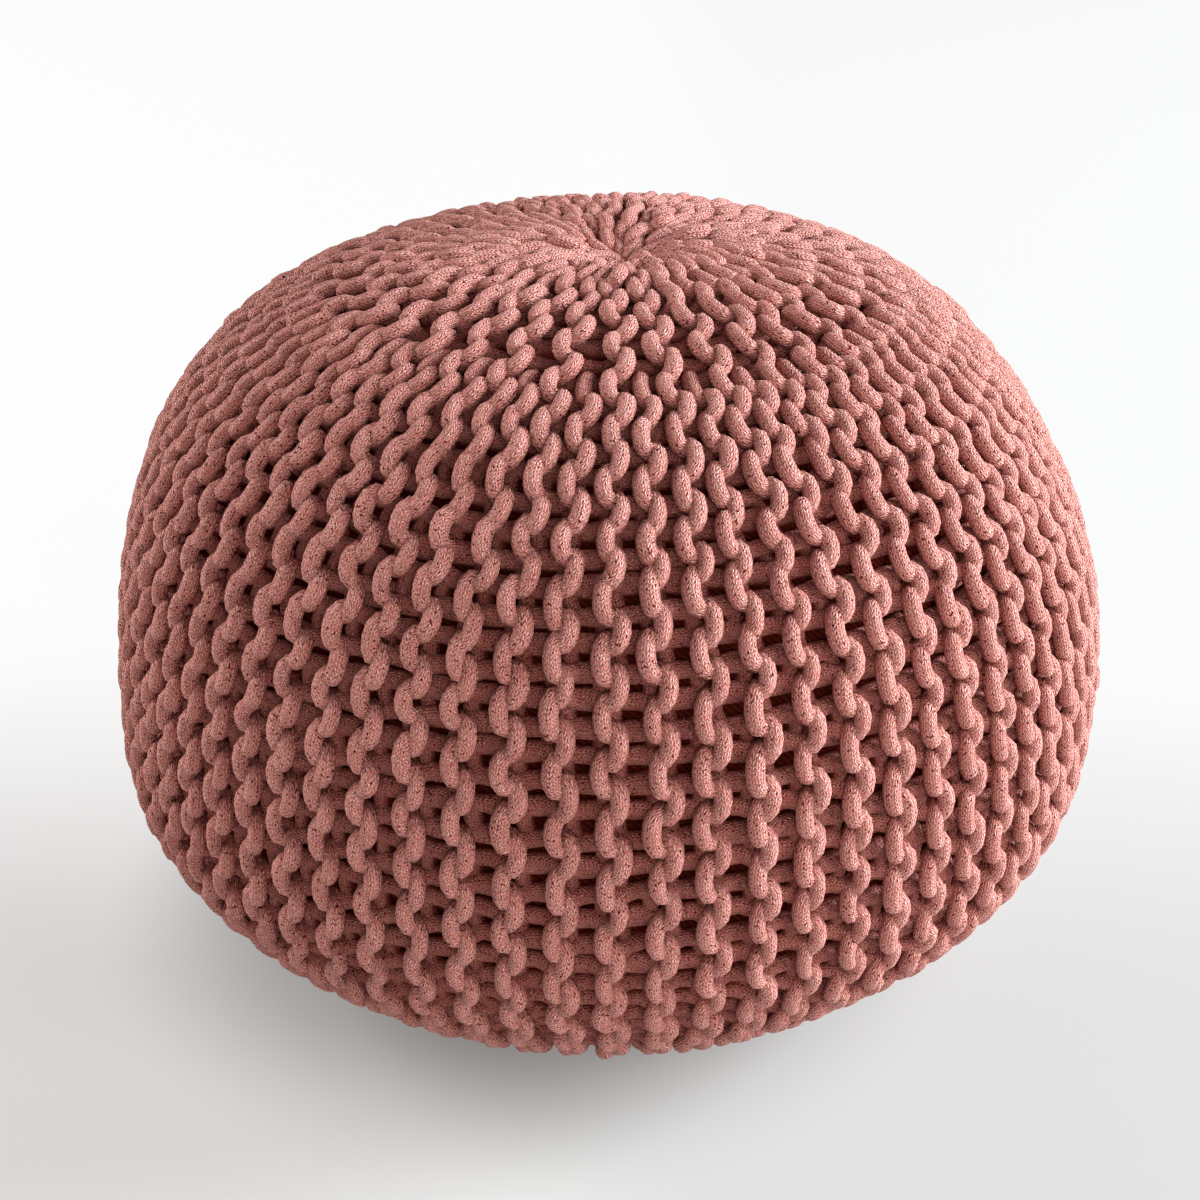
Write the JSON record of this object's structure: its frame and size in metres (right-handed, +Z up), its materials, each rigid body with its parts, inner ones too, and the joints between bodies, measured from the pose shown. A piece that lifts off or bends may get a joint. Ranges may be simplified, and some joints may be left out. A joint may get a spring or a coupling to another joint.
{
  "type": "knitted pouf",
  "caption": "Round filled floor pouf in a thick knitted cord cover, its ridges running from a gather on top to the flat base.",
  "frame": {"origin": "middle of the footprint, on the floor that the flat base rests on", "axes": "+Z up through the gather on top; -Y is the side that the picture shows; +X to its right"},
  "size_m": [0.5055, 0.5005, 0.3588],
  "materials": {
    "cotton_cord": "matt knitted cotton cord, dusty terracotta rose with small dark flecks"
  },
  "bodies": {
    "root": {"knitted_pouf": "cotton_cord"}
  },
  "joints": []
}
